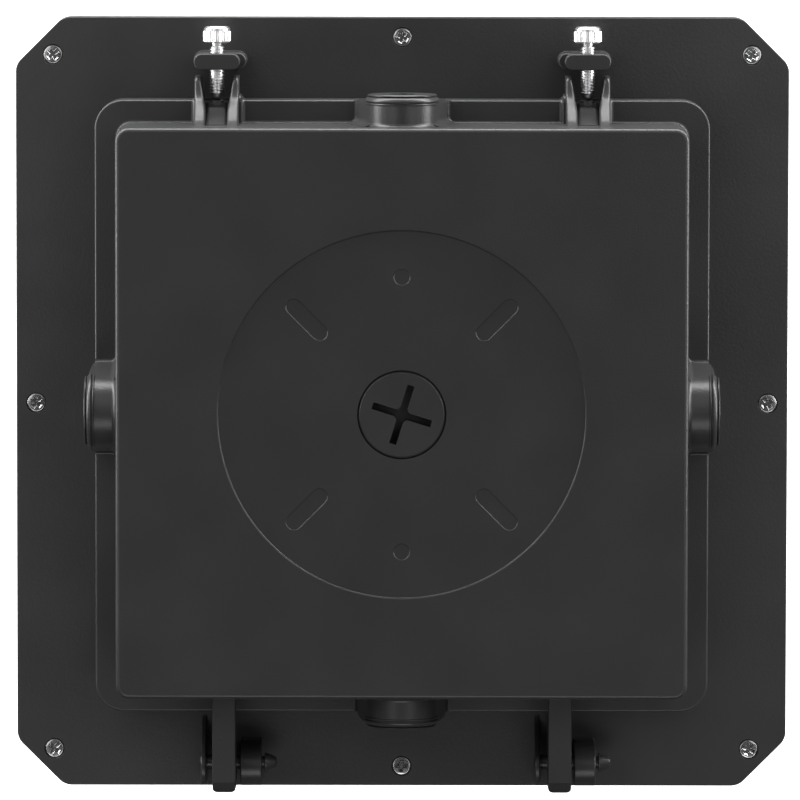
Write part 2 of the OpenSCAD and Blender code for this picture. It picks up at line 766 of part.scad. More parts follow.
module board_screws() {
  color(zinc_steel) for (place = board_screw_places)
    translate([place[0], place[1], board_bottom_z]) rotate([180, 0, 0])
      small_screw(board_t + small_bite - bottom_gap);
}

module board_socket() {
  color("ivory") translate([socket_x(), driver_y - socket_w / 2, board_bottom_z - socket_h])
    difference() {
      cube([socket_l, socket_w, socket_h]);
      for (side = [-1, 1]) translate([0, socket_w / 2 + side * output_half, socket_h / 2])
        bar_x(output_d, -overlap, plug_bite / 2);
    }
}

function socket_x() = grommet_x() + output_bend_r + socket_space;

// Driver: a potted case with an end cap and foot at each end.

module driver_case() {
  color("silver") translate([-driver_l / 2 + cap_t, driver_y - driver_w / 2, plate_z])
    cube([driver_l - 2 * cap_t, driver_w, driver_h]);
}

module driver_caps() {
  color(black_plastic) for (side = [-1, 1]) difference() {
    union() {
      translate([side * (driver_l - cap_t) / 2 - cap_t / 2, driver_y - driver_w / 2, plate_z])
        cube([cap_t, driver_w, driver_h]);
      translate([side * (driver_l + foot_l) / 2 - foot_l / 2, driver_y - small_head_d, plate_z])
        cube([foot_l, 2 * small_head_d, foot_t]);
      translate([side * (driver_l / 2 - overlap / 2) - overlap / 2, driver_y - small_head_d, plate_z])
        cube([overlap, 2 * small_head_d, foot_t]);
    }
    translate([side * driver_screw_x(), driver_y, plate_z - overlap])
      cylinder(d = free_hole_d, h = foot_t + 2 * overlap);
    if (side > 0)
      for (i = [-1, 0, 1]) translate([0, supply_y(i), lead_z])
        bar_x(supply_d, driver_l / 2 - plug_bite / 2, driver_l / 2 + foot_l + overlap);
    else
      for (lane = [-1, 1]) translate([0, output_y(lane), lead_z])
        bar_x(output_d, -driver_l / 2 - foot_l - overlap, -driver_l / 2 + plug_bite / 2);
  }
}

module driver_screws() {
  color(zinc_steel) for (side = [-1, 1])
    translate([side * driver_screw_x(), driver_y, plate_z + foot_t])
      small_screw(foot_t + small_bite - bottom_gap);
}

// Leads, whole from end to end.

// A quarter bend in the XY plane, from heading +X to heading +Y, starting at the origin.
module quarter_bend(d, r) {
  translate([0, r, 0]) rotate(-90) rotate_extrude(angle = 90)
    translate([r, 0]) circle(d = d, $fn = 32);
}

function supply_y(i) = driver_y + driver_w / 2 - supply_inset - (1 - i) * lead_pitch;
function output_y(lane) = driver_y + lane * output_half;

// A supply lead: out of the right cap, round towards the cap screws and back into the connector.
module supply_lead(i) {
  start_x = driver_l / 2 - plug_bite / 2;
  turn_x = driver_l / 2 + foot_l + lead_bend_r + (1 - i) * (supply_d + lead_space);
  end_x = connector_x + connector_l - plug_bite;
  end_y = connector_y - i * lead_pitch;
  translate([0, 0, lead_z]) {
    translate([0, supply_y(i), 0]) bar_x(supply_d, start_x, turn_x - lead_bend_r);
    translate([turn_x - lead_bend_r, supply_y(i), 0]) quarter_bend(supply_d, lead_bend_r);
    translate([turn_x, 0, 0]) bar_y(supply_d, supply_y(i) + lead_bend_r, end_y - lead_bend_r);
    translate([turn_x - lead_bend_r, end_y, 0]) mirror([0, 1, 0])
      quarter_bend(supply_d, lead_bend_r);
    translate([0, end_y, 0]) bar_x(supply_d, end_x, turn_x - lead_bend_r);
  }
}

module lead_line() { color([0.08, 0.08, 0.08]) supply_lead(1); }
module lead_neutral() { color("whitesmoke") supply_lead(0); }
module lead_earth() { color("seagreen") supply_lead(-1); }

// An output lead: out of the left cap, down through the grommet and into the board's socket.
module output_lead(lane) {
  bend = output_bend_r;
  entry_z = board_bottom_z - socket_h / 2;
  translate([0, output_y(lane), 0]) {
    translate([0, 0, lead_z]) bar_x(output_d, grommet_x() + bend, -driver_l / 2 + plug_bite / 2);
    translate([grommet_x() + bend, 0, lead_z]) rotate([0, 180, 0]) rotate([90, 0, 0])
      quarter_bend(output_d, bend);
    translate([grommet_x(), 0, entry_z + bend]) cylinder(d = output_d, h = lead_z - entry_z - 2 * bend);
    translate([grommet_x() + bend, 0, entry_z]) mirror([1, 0, 0]) rotate([90, 0, 0])
      quarter_bend(output_d, bend);
    translate([0, 0, entry_z]) bar_x(output_d, grommet_x() + bend, socket_x() + plug_bite / 2);
  }
}

module output_lead_red() { color("firebrick") output_lead(1); }
module output_lead_black() { color([0.08, 0.08, 0.08]) output_lead(-1); }

// Rubber grommet in the plate round the output leads.
module wire_grommet() {
  color(black_plastic) translate([grommet_x(), driver_y, 0]) difference() {
    union() {
      translate([0, 0, plate_under_z])
        cylinder(d = grommet_hole_d - 2 * thread_gap, h = plate_t);
      translate([0, 0, plate_z])
        cylinder(d = grommet_hole_d + 2 * grommet_flange, h = grommet_lip_h);
    }
    for (lane = [-1, 1]) translate([0, output_y(lane) - driver_y, plate_under_z - overlap])
      cylinder(d = output_d, h = plate_t + grommet_lip_h + 2 * overlap);
  }
}

// Push-in connector for the supply wires from the ceiling; its open side faces the middle.
module wire_connector() {
  color("orange") difference() {
    translate([connector_x, connector_y - connector_w / 2, plate_z])
      cube([connector_l, connector_w, connector_h]);
    for (i = [-1, 0, 1]) translate([0, connector_y + i * lead_pitch, lead_z]) {
      bar_x(supply_d, connector_x + connector_l - plug_bite, connector_x + connector_l + overlap);
      bar_x(supply_d + 2 * port_space, connector_x - overlap, connector_x + connector_l / 2);
    }
  }
}

// Hinge pins: pressed in the lugs, running in the arm, with a snap head past the wide lug.

module hinge_pin(arm_x) {
  head_x = wide_end(arm_x) + pin_neck_l;
  color(black_plastic) translate([0, pin_y, pin_z]) {
    bar_x(pin_d, thin_end(arm_x), wide_end(arm_x));
    bar_x(pin_d - 2 * neck_cut, wide_end(arm_x) - overlap, head_x + overlap);
    translate([head_x, 0, 0]) rotate([0, 90, 0])
      cylinder(d1 = pin_head_d, d2 = snap_tip_d, h = pin_head_l);
  }
}

module hinge_pin_left() { hinge_pin(arm_left_x); }
module hinge_pin_right() { hinge_pin(arm_right_x); }

// Cap screw, drawn where the photo shows it: backed out of the catch, so that the door is free.
module cap_screw(x_mid) {
  color(bright_steel) translate([x_mid, cap_seat_y, latch_z]) difference() {
    union() {
      bar_y(cap_head_d, 0, cap_head_h);
      bar_y(cap_thread_d, cap_point_l - cap_l, overlap);
      translate([0, -cap_l, 0]) rotate([-90, 0, 0])
        cylinder(d1 = cap_point_d, d2 = cap_thread_d, h = cap_point_l);
    }
    translate([0, cap_head_h + overlap, 0]) rotate([90, 0, 0])
      cylinder(d = socket_af / cos(30), h = socket_depth + overlap, $fn = 6);
  }
}

module cap_screw_left() { cap_screw(-latch_x); }
module cap_screw_right() { cap_screw(latch_x); }

junction_box();
rear_plug();
side_plug_top();
side_plug_bottom();
side_plug_left();
side_plug_right();
ground_screw();
door_housing();
box_gasket();
lens_frame();
frame_screws();
lens_gasket();
lens();
led_board();
led_chips();
board_screws();
board_socket();
driver_case();
driver_caps();
driver_screws();
wire_grommet();
output_lead_red();
output_lead_black();
lead_line();
lead_neutral();
lead_earth();
wire_connector();
hinge_pin_left();
hinge_pin_right();
cap_screw_left();
cap_screw_right();
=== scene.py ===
"""A square canopy light, lying lens down as in the photograph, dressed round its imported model."""
import json
import math

import bpy
from mathutils import Matrix, Vector

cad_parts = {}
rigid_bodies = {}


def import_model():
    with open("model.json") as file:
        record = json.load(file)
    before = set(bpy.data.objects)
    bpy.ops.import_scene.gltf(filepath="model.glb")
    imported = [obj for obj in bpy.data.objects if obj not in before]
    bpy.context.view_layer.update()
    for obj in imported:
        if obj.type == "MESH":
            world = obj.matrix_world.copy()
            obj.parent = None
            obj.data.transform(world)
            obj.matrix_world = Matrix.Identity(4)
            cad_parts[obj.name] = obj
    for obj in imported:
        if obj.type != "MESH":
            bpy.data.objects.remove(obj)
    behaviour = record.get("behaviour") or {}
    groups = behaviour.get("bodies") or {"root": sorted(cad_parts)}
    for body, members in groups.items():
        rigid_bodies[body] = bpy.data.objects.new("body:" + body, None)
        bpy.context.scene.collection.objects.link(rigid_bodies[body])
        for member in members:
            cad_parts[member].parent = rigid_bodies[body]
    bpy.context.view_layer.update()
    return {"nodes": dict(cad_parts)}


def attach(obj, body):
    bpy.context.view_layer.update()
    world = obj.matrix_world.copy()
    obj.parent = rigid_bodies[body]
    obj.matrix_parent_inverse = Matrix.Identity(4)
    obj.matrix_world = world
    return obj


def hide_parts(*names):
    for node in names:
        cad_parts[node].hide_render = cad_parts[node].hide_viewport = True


bpy.ops.object.select_all(action="SELECT")
bpy.ops.object.delete()
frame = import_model()

# Camera: a long lens almost straight above the ceiling face, leaning a little towards the cap
# screws, so that the faces on that side just show. The light's own lengths are in millimetres.
MM = 0.001
PLATE_TOP = -45
CAMERA_AWAY = 2.5
LEAN, SIDE_LEAN, ROLL = 0.0857, 0.0015, 0.0014
back = Vector((math.sin(SIDE_LEAN) * math.cos(LEAN), math.sin(LEAN),
               math.cos(SIDE_LEAN) * math.cos(LEAN)))
right = Vector((0, 1, 0)).cross(back).normalized()
up = back.cross(right)
camera_right = math.cos(ROLL) * right + math.sin(ROLL) * up
camera_up = math.cos(ROLL) * up - math.sin(ROLL) * right
aimed = Matrix((camera_right, camera_up, back)).transposed().to_4x4()
aim = Vector((-0.65 * MM, 1.0 * MM, PLATE_TOP * MM))
camera_data = bpy.data.cameras.new("camera")
camera_data.sensor_width = 36
camera_data.lens = 342.8
camera_data.clip_end = 30
camera = bpy.data.objects.new("camera", camera_data)
bpy.context.collection.objects.link(camera)
camera.matrix_world = Matrix.Translation(aim + CAMERA_AWAY * back) @ aimed
bpy.context.scene.camera = camera
bpy.context.scene.view_settings.view_transform = "Standard"

# Stage: a pale floor that glows softly, as a light table does, and isn't mirrored in the part. It
# lies deep enough for the head to hang open over it. Bright strips lie low behind the cap screws
# and at both sides, with wider and dimmer panels above them, one on the hinge side too.
FLOOR_Z = -0.33
FLOOR_SIDE = 8
bpy.ops.object.select_all(action="DESELECT")
bpy.ops.mesh.primitive_plane_add(size=FLOOR_SIDE, location=(0, 0, FLOOR_Z))
floor = bpy.context.object
floor.name = "floor"
floor.visible_glossy = False
pale = bpy.data.materials.new("pale_floor")
pale.use_nodes = True
pale_shader = pale.node_tree.nodes["Principled BSDF"]
pale_shader.inputs["Base Color"].default_value = (0.88, 0.88, 0.88, 1)
pale_shader.inputs["Roughness"].default_value = 0.7
pale_shader.inputs["Emission Color"].default_value = (1, 1, 1, 1)
pale_shader.inputs["Emission Strength"].default_value = 0.85
floor.data.materials.append(pale)
world = bpy.data.worlds.new("sky")
bpy.context.scene.world = world
world.use_nodes = True
sky = world.node_tree.nodes["Background"]
sky.inputs["Color"].default_value = (1, 1, 1, 1)
sky.inputs["Strength"].default_value = 0.02


def panel(name, place, towards, width, height, radiance):
    """Adds a soft panel at a place, hidden from the camera, that faces along a direction."""
    light = bpy.data.lights.new(name, "AREA")
    light.shape = "RECTANGLE"
    light.size = width
    light.size_y = height
    light.energy = math.pi * width * height * radiance
    holder = bpy.data.objects.new(name, light)
    holder.location = place
    holder.rotation_euler = (-Vector(towards)).to_track_quat("Z", "Y").to_euler()
    holder.visible_camera = False
    bpy.context.collection.objects.link(holder)


panel("strip_far", (0, 0.75, -0.09), (0, -1, 0), width=1.8, height=0.32, radiance=10.5)
panel("panel_far", (0, 0.9, 1.1), (0, -0.9, -1.13), width=1.8, height=0.6, radiance=0.5)
panel("panel_near", (0, -0.9, 1.1), (0, 0.9, -1.13), width=1.4, height=0.6, radiance=2.2)
for side, name in ((-1, "left"), (1, "right")):
    panel("strip_" + name, (side * 0.5, 0.35, 0.0), (-side, 0, 0),
          width=0.8, height=0.16, radiance=10)
    panel("panel_" + name, (side * 0.6, 0.4, 0.3), (-side * 0.6, -0.4, -0.33),
          width=0.9, height=0.32, radiance=1.0)
    panel("panel_high_" + name, (side * 0.6, 0.2, 1.1), (-side * 0.6, -0.2, -1.13),
          width=1.0, height=0.6, radiance=1.0)

# Junction box: one aluminium die casting, powder coated black. A square pot on a wider flange,
# with drafted walls and every edge rounded as the tool leaves it.
RIM_Z = -43.4


def pick(piece, kind, test):
    """Selects, in edit mode, those faces, edges or points of a piece that pass a test of place."""
    bpy.ops.object.mode_set(mode="OBJECT")
    mesh = piece.data
    for group in (mesh.vertices, mesh.edges, mesh.polygons):
        group.foreach_set("select", [False] * len(group))
    if kind == "FACE":
        for face in mesh.polygons:
            face.select = test(face.center / MM, face.normal)
    elif kind == "EDGE":
        for edge in mesh.edges:
            low, high = (mesh.vertices[index].co for index in edge.vertices)
            edge.select = test((low + high) / 2 / MM, (high - low).normalized())
    else:
        for point in mesh.vertices:
            point.select = test(point.co / MM)
    bpy.context.tool_settings.mesh_select_mode = (kind == "VERT", kind == "EDGE", kind == "FACE")
    bpy.context.view_layer.objects.active = piece
    bpy.ops.object.mode_set(mode="EDIT")


def looks_up(place, normal):
    """Tells a face that looks up."""
    return normal.z > 0.9


def upright(place, along):
    """Tells an upright edge."""
    return abs(along.z) > 0.9


def block(name, low, high):
    """Adds a cube that fills the space between two corners."""
    bpy.ops.object.select_all(action="DESELECT")
    low, high = (Vector([c * MM for c in corner]) for corner in (low, high))
    bpy.ops.mesh.primitive_cube_add(size=1, location=(low + high) / 2, scale=high - low)
    piece = bpy.context.object
    piece.name = name
    bpy.ops.object.transform_apply(location=True, rotation=True, scale=True)
    return piece


def round_off(piece, radius, segments, test):
    """Rounds the edges of a piece that pass a test, or fills them where they are hollow."""
    pick(piece, "EDGE", test)
    bpy.ops.mesh.bevel(offset=radius * MM, segments=segments, profile=0.5, affect="EDGES")
    bpy.ops.object.mode_set(mode="OBJECT")


def draw_on(piece, test, steps):
    """Draws the faces of a piece that pass a test inwards and onwards, step by step."""
    pick(piece, "FACE", test)
    for inward, onward in steps:
        bpy.ops.mesh.inset(thickness=inward * MM, depth=onward * MM, use_even_offset=True)
    bpy.ops.object.mode_set(mode="OBJECT")


def rounded_block(name, half, radius, low, high, steps=()):
    """Adds a square block with rounded corners, whose top goes on inwards and upwards by steps."""
    piece = block(name, (-half, -half, low), (half, half, high))
    round_off(piece, radius, 10, upright)
    draw_on(piece, looks_up, steps)
    return piece


def round_at(centre, radius, angles):
    """Points round a centre at some angles, in degrees."""
    return [(centre[0] + radius * math.cos(math.radians(a)),
             centre[1] + radius * math.sin(math.radians(a))) for a in angles]


def arc(centre, radius, start, end, count):
    """Points of an arc from one angle to another, in degrees, both ends included."""
    return round_at(centre, radius, [start + (end - start) * i / count for i in range(count + 1)])


def as_steps(profile):
    """Turns a profile of half widths and heights into steps inwards and upwards."""
    return [(a[0] - b[0], b[1] - a[1]) for a, b in zip(profile, profile[1:])]


def join(piece, other, how="UNION"):
    """Joins another piece into this one, or cuts it away, and removes it."""
    tool = piece.modifiers.new("tool", "BOOLEAN")
    tool.operation = how
    tool.object = other
    tool.solver = "EXACT"
    bpy.context.view_layer.objects.active = piece
    bpy.ops.object.modifier_apply(modifier=tool.name)
    bpy.data.meshes.remove(other.data)


flange_profile = arc((99.45, -30.65), 0.65, 0, 90, 6)
wall_profile = ([(93.6, -30.02)]
                + round_at((93.6, -29), 1, (-104, -119, -134, -149, -164, -178.5))
                + arc((91.01, -1.4), 1.4, 1.5, 90, 6))
casting = rounded_block("junction_box_casting", 100.1, 9.3, RIM_Z, -30.65, as_steps(flange_profile))
join(casting, rounded_block("pot", 93.6, 5.5, -31, -30.02, as_steps(wall_profile)))

# A conduit hub on each side of the box: a barrel with a beaded mouth, on a skirt that stands on
# the flange. Each grows out of the wall and the flange with a hollow round.
HUB_Z = -15
QUARTERS = (0, 90, 180, 270)


def trace(name, points):
    """Starts a piece as a chain of edges through points, drawn out from one point."""
    bpy.ops.object.select_all(action="DESELECT")
    points = [Vector([c * MM for c in point]) for point in points]
    bpy.ops.mesh.primitive_plane_add(size=MM, location=points[0])
    piece = bpy.context.object
    piece.name = name
    bpy.ops.object.transform_apply(location=True, rotation=True, scale=True)
    bpy.context.tool_settings.mesh_select_mode = (True, False, False)
    bpy.ops.object.mode_set(mode="EDIT")
    bpy.ops.mesh.select_all(action="SELECT")
    bpy.ops.mesh.merge(type="CENTER")
    for start, end in zip(points, points[1:]):
        bpy.ops.mesh.extrude_vertices_move(TRANSFORM_OT_translate={"value": end - start})
    return piece


def draw_out(way):
    """Draws the selected faces of the piece in edit mode out along a way."""
    bpy.ops.mesh.extrude_region_move(TRANSFORM_OT_translate={"value": [c * MM for c in way]})


def close_up():
    """Turns the faces of the piece in edit mode outwards, and leaves edit mode."""
    bpy.ops.mesh.select_all(action="SELECT")
    bpy.ops.mesh.normals_make_consistent(inside=False)
    bpy.ops.object.mode_set(mode="OBJECT")


def slab(name, outline, thickness):
    """Makes a closed outline a face and draws it out to a solid."""
    piece = trace(name, outline)
    bpy.ops.mesh.select_all(action="SELECT")
    bpy.ops.mesh.edge_face_add()
    draw_out(thickness)
    close_up()
    return piece


def turned(name, points, centre, axis, count):
    """Turns a chain of points round an axis to a closed solid."""
    piece = trace(name, points)
    bpy.ops.mesh.select_all(action="SELECT")
    bpy.ops.mesh.spin(steps=count, angle=2 * math.pi, center=[c * MM for c in centre], axis=axis)
    bpy.ops.mesh.select_all(action="SELECT")
    bpy.ops.mesh.remove_doubles(threshold=1e-6)
    close_up()
    return piece


def turned_y(name, profile, x=0, z=0, start=0, count=64):
    """Turns pairs of length and radius round a line along Y. The lengths begin at a start."""
    points = [(x, start + y, z + r) for y, r in profile]
    return turned(name, points, (x, 0, z), (0, 1, 0), count)


def turn_about_z(piece, degrees):
    """Turns a piece about the middle of the light."""
    bpy.ops.object.select_all(action="DESELECT")
    piece.select_set(True)
    piece.rotation_euler.z = math.radians(degrees)
    bpy.ops.object.transform_apply(location=True, rotation=True, scale=True)


def mirrored(points):
    """Follows a chain of points by its own mirror image, back to the start."""
    return points + [(-x, z) for x, z in reversed(points)]


barrel_profile = ([(89.6, 0), (89.6, 13.1)] + arc((93.9, 13.1), 1.5, 180, 270, 6)
                  + [(99.35, 11.6), (99.6, 11.9), (99.8, 11.92), (100.0, 11.8), (100.25, 11.5),
                     (100.4, 11.55), (100.5, 11.95), (100.65, 12.1), (100.95, 12.05),
                     (101.3, 11.9), (101.65, 11.6), (101.9, 11.25), (102, 10.9), (102, 0)])
# Half of the skirt's outline, from its hollow foot on the flange up its steep flank.
skirt_half = ([(15.8, -31.2), (15.8, -30.02)] + arc((15.8, -28.7), 1.3, -105, -165, 4)
              + [(14.2, -26.0), (13.7, -22.6), (12.9, -19.0), (12.1, -15.6), (11.3, -12.3),
                 (9.5, -9.0)])


def hub(turn):
    """Makes the hub of one side, turned about the middle of the light."""
    barrel = turned_y("barrel", barrel_profile, z=HUB_Z)
    skirt = slab("skirt", [(x, 100, z) for x, z in mirrored(skirt_half)], (0, -5.2, 0))
    pick(skirt, "FACE", lambda place, normal: normal.y < -0.9)
    for widen, inwards in ((1.012, 0.7), (1.035, 0.6), (1.07, 0.5), (1.1, 0.3), (1.0, 3.5)):
        draw_out((0, -inwards, 0))
        bpy.ops.transform.resize(value=(widen, 1, 1))
    for height, out in ((-28.9, 0.25), (-26.5, 0.35), (-23, 0.35), (-20, 0.3), (-16, 0.2),
                        (-13, 0.1)):
        pick(skirt, "VERT", lambda point: point.y > 99.9 and point.z > height)
        bpy.ops.transform.translate(value=(0, out * MM, 0))
    bpy.ops.object.mode_set(mode="OBJECT")
    join(skirt, barrel)
    turn_about_z(skirt, turn)
    return skirt


for turn in QUARTERS:
    join(casting, hub(turn))

# A fork for each cap screw: two ribs that sweep up to the wall, and a boss with the catch hole
# between them. The ribs stand on the flange and down its side with a hollow round.
LATCH_X = 60.3
LATCH_Z = -32.5
RIB_GAP = 3.55
RIB_THICK = 3.65
TOUCH = 0.01
rib_outline = ([(107.8, -29.8), (107.55, -28.6), (107.0, -27.6)]
               + arc((105.9, -19.35), 7.65, -90, -145, 5)
               + [(94.4, -16.3), (93.4, -14.2), (92.9, -12.3), (92.4, -10.2), (90, -10.2),
                  (90, -31.5), (99, -31.5), (99, -42), (107.8, -42)])
ridge_outline = ((99.3, -31), (99.3, -29.6), (98.0, -28.9), (96.6, -27.4), (95.2, -25.2),
                 (94.0, -22.4), (93.2, -19.6), (92.7, -17.0), (90, -17.0), (90, -31))


def gather(whole, piece):
    """Joins a piece to those before it, if there are any."""
    if whole is None:
        return piece
    join(whole, piece)
    return whole


def on_top(place, along):
    """Tells an edge along the top of a rib, from its front to the wall."""
    return abs(along.x) < 0.3 and place.y > 92.4 and place.z > -29.7


def fork(middle):
    """Makes the fork round one cap screw."""
    whole = None
    for side in (-1, 1):
        inner = middle + side * RIB_GAP
        outer = inner + side * RIB_THICK
        rib = slab("rib", [(inner, y, z) for y, z in rib_outline], (side * RIB_THICK, 0, 0))
        flare = slab("flare", [(x, y, -43) for x, y in
                               ((inner - side, 95), (inner - side, 110),
                                (inner + side * 2.3, 110), (inner, 97))], (0, 0, 34))
        join(rib, flare, "DIFFERENCE")
        round_off(rib, 0.8, 3, lambda place, along: (on_top(place, along)
                                                     and abs(place.x - outer) < TOUCH))
        round_off(rib, 0.8, 3, lambda place, along: (on_top(place, along)
                                                     and abs(place.x - outer) > 1.5))
        ledge = 0.9 if side * middle < 0 else 0
        foot = ([(-0.9, -0.5), (-0.9, 1.7)]
                + round_at((ledge + 1.7, 1.7), 1.7, (180, 200, 220, 240, 258))
                + [(ledge + 1.75, -0.15), (ledge + 1.75, -0.5)])
        fillet = trace("fillet", [(outer + side * (x - 0.25), 92, -30 + z) for x, z in foot])
        bpy.ops.mesh.select_all(action="SELECT")
        bpy.ops.mesh.edge_face_add()
        draw_out((0, 7.15, 0))
        bpy.ops.mesh.spin(steps=7, angle=math.pi / 2, center=(0, 99.15 * MM, -30.95 * MM),
                          axis=(1, 0, 0))
        draw_out((0, 0, -11))
        close_up()
        join(rib, fillet)
        whole = gather(whole, rib)
    boss = turned_y("boss", ((89, 0), (89, 3.35), (100, 3.35), (100.5, 2.9), (100.5, 0)),
                    middle, LATCH_Z, count=40)
    ridge = slab("ridge", [(middle - 3.6, y, z) for y, z in ridge_outline], (7.2, 0, 0))
    round_off(ridge, 1.3, 4, lambda place, along: (92.6 < place.y < 99.2 and place.z > -29.5
                                                   and abs(along.x) < 0.1))
    join(boss, ridge)
    join(whole, boss)
    return whole


for middle in (-LATCH_X, LATCH_X):
    join(casting, fork(middle))
    mouth = turned_y("catch_mouth", ((96.6, 0), (96.6, 2.7), (99.3, 2.7), (101.2, 4.4), (101.2, 0)),
                     middle, LATCH_Z, count=40)
    join(casting, mouth, "DIFFERENCE")

# Two hinge arms, flat and square-edged, with a sloped tip and the hole that the hinge pin runs in.
PIN_Y = -117.3
PIN_Z = -34
ARM_X = (-57.8, 51.6)
ARM_HALF = 3.75
arm_outline = ([(-90, -13), (-121.3, -13), (-125.3, -19), (-125.3, -34)]
               + arc((PIN_Y, PIN_Z), 8, 195, 270, 5)
               + [(-99, -42), (-99, -31.2), (-90, -31.2)])


def turned_x(name, profile, y, z, start=0, count=40):
    """Turns pairs of length and radius round a line along X. The lengths begin at a start."""
    points = [(start + x, y, z + r) for x, r in profile]
    return turned(name, points, (0, y, z), (1, 0, 0), count)


for middle in ARM_X:
    arm = slab("arm", [(middle - ARM_HALF, y, z) for y, z in arm_outline], (2 * ARM_HALF, 0, 0))
    round_off(arm, 1.6, 4, lambda place, along: place.y < -125.2 and upright(place, along))
    round_off(arm, 0.6, 3, lambda place, along: (place.y < -94 and place.z > -30
                                                 and abs(along.x) < 0.1
                                                 and abs(abs(place.x - middle) - ARM_HALF) < TOUCH))
    hole = turned_x("pin_hole", ((-5, 0), (-5, 3.8), (-3.35, 2.56), (3.35, 2.56), (5, 3.8), (5, 0)),
                    PIN_Y, PIN_Z, middle)
    join(arm, hole, "DIFFERENCE")
    join(casting, arm)

# The hollow of the box, the holes through its hubs and back, the round recess for the ceiling
# gasket, and the marks where the installer drills.
GROUND = (-62, 62)
DRILL_Y = 44.45
MARK_R = 2.75
SMOOTH_UP_TO = 32


def looks_down(place, normal):
    """Tells a face that looks down."""
    return normal.z < -0.9


def turned_z(name, profile, x=0, y=0, count=64):
    """Turns pairs of radius and height round an upright line."""
    points = [(x + r, y, z) for r, z in profile]
    return turned(name, points, (x, y, 0), (0, 0, 1), count)


join(casting, rounded_block("hollow", 96.5, 5.8, -50, -33), "DIFFERENCE")
join(casting, rounded_block("hollow", 89.5, 2.9, -40, -4.0, [(0.8, 0.8)]), "DIFFERENCE")
join(casting, turned_z("rear_boss", ((0, -3), (19.2, -3), (18.2, -4), (18, -11.6), (17.6, -12),
                                     (0, -12))))
join(casting, turned_z("ground_boss", ((0, -3), (6.3, -3), (5.6, -3.8), (5.5, -10.2), (0, -10.2)),
                       *GROUND, 32))
join(casting, turned_z("ground_hole", ((0, -4.2), (2.45, -4.2), (2.45, -11), (0, -11)),
                       *GROUND, 24), "DIFFERENCE")
join(casting, turned_z("rear_hole", ((0, 1), (14.4, 1), (14.4, -13), (0, -13)), count=96),
     "DIFFERENCE")
join(casting, turned_z("recess", ((0, 1), (60.3, 1), (59.85, 0.1), (59.7, -0.1), (59.55, -0.52),
                                  (59.25, -0.8), (0, -0.8)), count=192), "DIFFERENCE")
for turn in QUARTERS:
    bore = turned_y("bore", ((88, 0), (88, 9.9), (101.5, 9.9), (102.5, 10.9), (102.5, 0)), z=HUB_Z)
    turn_about_z(bore, turn)
    join(casting, bore, "DIFFERENCE")
for side in (-1, 1):
    point = turned_z("drill_point", ((0, 0.1), (MARK_R, 0.1), (MARK_R, -0.8), (2.45, -1.04),
                                     (0, -1.04)), y=side * DRILL_Y, count=32)
    join(casting, point, "DIFFERENCE")
for turn in (45, 135, 225, 315):
    slot_ends = arc((49.2, 0), MARK_R, -90, 90, 10) + arc((37.5, 0), MARK_R, 90, 270, 10)
    slot = slab("drill_slot", [(x, y, 0.1) for x, y in slot_ends], (0, 0, -0.9))
    draw_on(slot, looks_down, [(0.3, 0.24)])
    turn_about_z(slot, turn)
    join(casting, slot, "DIFFERENCE")


def finish(piece, name, body, slot, material, *nodes):
    """Smooths a piece up to its edges, gives it its finish and ties it to the model."""
    piece.name = name
    piece.data.name = name
    piece.data.materials.clear()
    piece.data.materials.append(material)
    bpy.ops.object.select_all(action="DESELECT")
    piece.select_set(True)
    bpy.context.view_layer.objects.active = piece
    bpy.ops.object.shade_smooth_by_angle(angle=math.radians(SMOOTH_UP_TO))
    weigh = piece.modifiers.new("weigh", "WEIGHTED_NORMAL")
    weigh.keep_sharp = True
    bpy.ops.object.modifier_apply(modifier=weigh.name)
    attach(piece, body)
    if nodes:
        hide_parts(*nodes)


def finish_material(name, colour, roughness, metallic=0.0, level=0.5, grain=1500, depth=0.06,
                    spread=0.06, mottle=0.12):
    """A finish with a fine surface grain, uneven gloss and a faint mottle, in the piece's space."""
    material = bpy.data.materials.new(name)
    material.use_nodes = True
    nodes, links = material.node_tree.nodes, material.node_tree.links
    shader = nodes["Principled BSDF"]
    shader.inputs["Metallic"].default_value = metallic
    shader.inputs["Specular IOR Level"].default_value = level
    place = nodes.new("ShaderNodeTexCoord")
    fine = nodes.new("ShaderNodeTexNoise")
    fine.inputs["Scale"].default_value = grain
    fine.inputs["Detail"].default_value = 3
    links.new(place.outputs["Object"], fine.inputs["Vector"])
    bump = nodes.new("ShaderNodeBump")
    bump.inputs["Strength"].default_value = 1
    bump.inputs["Distance"].default_value = depth * MM
    links.new(fine.outputs["Fac"], bump.inputs["Height"])
    links.new(bump.outputs["Normal"], shader.inputs["Normal"])
    broad = nodes.new("ShaderNodeTexNoise")
    broad.inputs["Scale"].default_value = 38
    broad.inputs["Detail"].default_value = 4
    links.new(place.outputs["Object"], broad.inputs["Vector"])
    gloss = nodes.new("ShaderNodeMapRange")
    gloss.inputs["To Min"].default_value = roughness - spread
    gloss.inputs["To Max"].default_value = roughness + spread
    links.new(broad.outputs["Fac"], gloss.inputs["Value"])
    links.new(gloss.outputs["Result"], shader.inputs["Roughness"])
    shade = nodes.new("ShaderNodeMapRange")
    shade.inputs["To Min"].default_value = 1 - mottle
    shade.inputs["To Max"].default_value = 1 + mottle
    links.new(broad.outputs["Fac"], shade.inputs["Value"])
    tint = nodes.new("ShaderNodeMix")
    tint.data_type = "RGBA"
    tint.blend_type = "MULTIPLY"
    tint.inputs["Factor"].default_value = 1
    tint.inputs["A"].default_value = (*colour, 1)
    links.new(shade.outputs["Result"], tint.inputs["B"])
    links.new(tint.outputs["Result"], shader.inputs["Base Color"])
    return material


coat = finish_material("black_powder_coat", (0.036, 0.036, 0.037), 0.34)
finish(casting, "junction_box_casting", "box", "coat", coat, "junction_box")

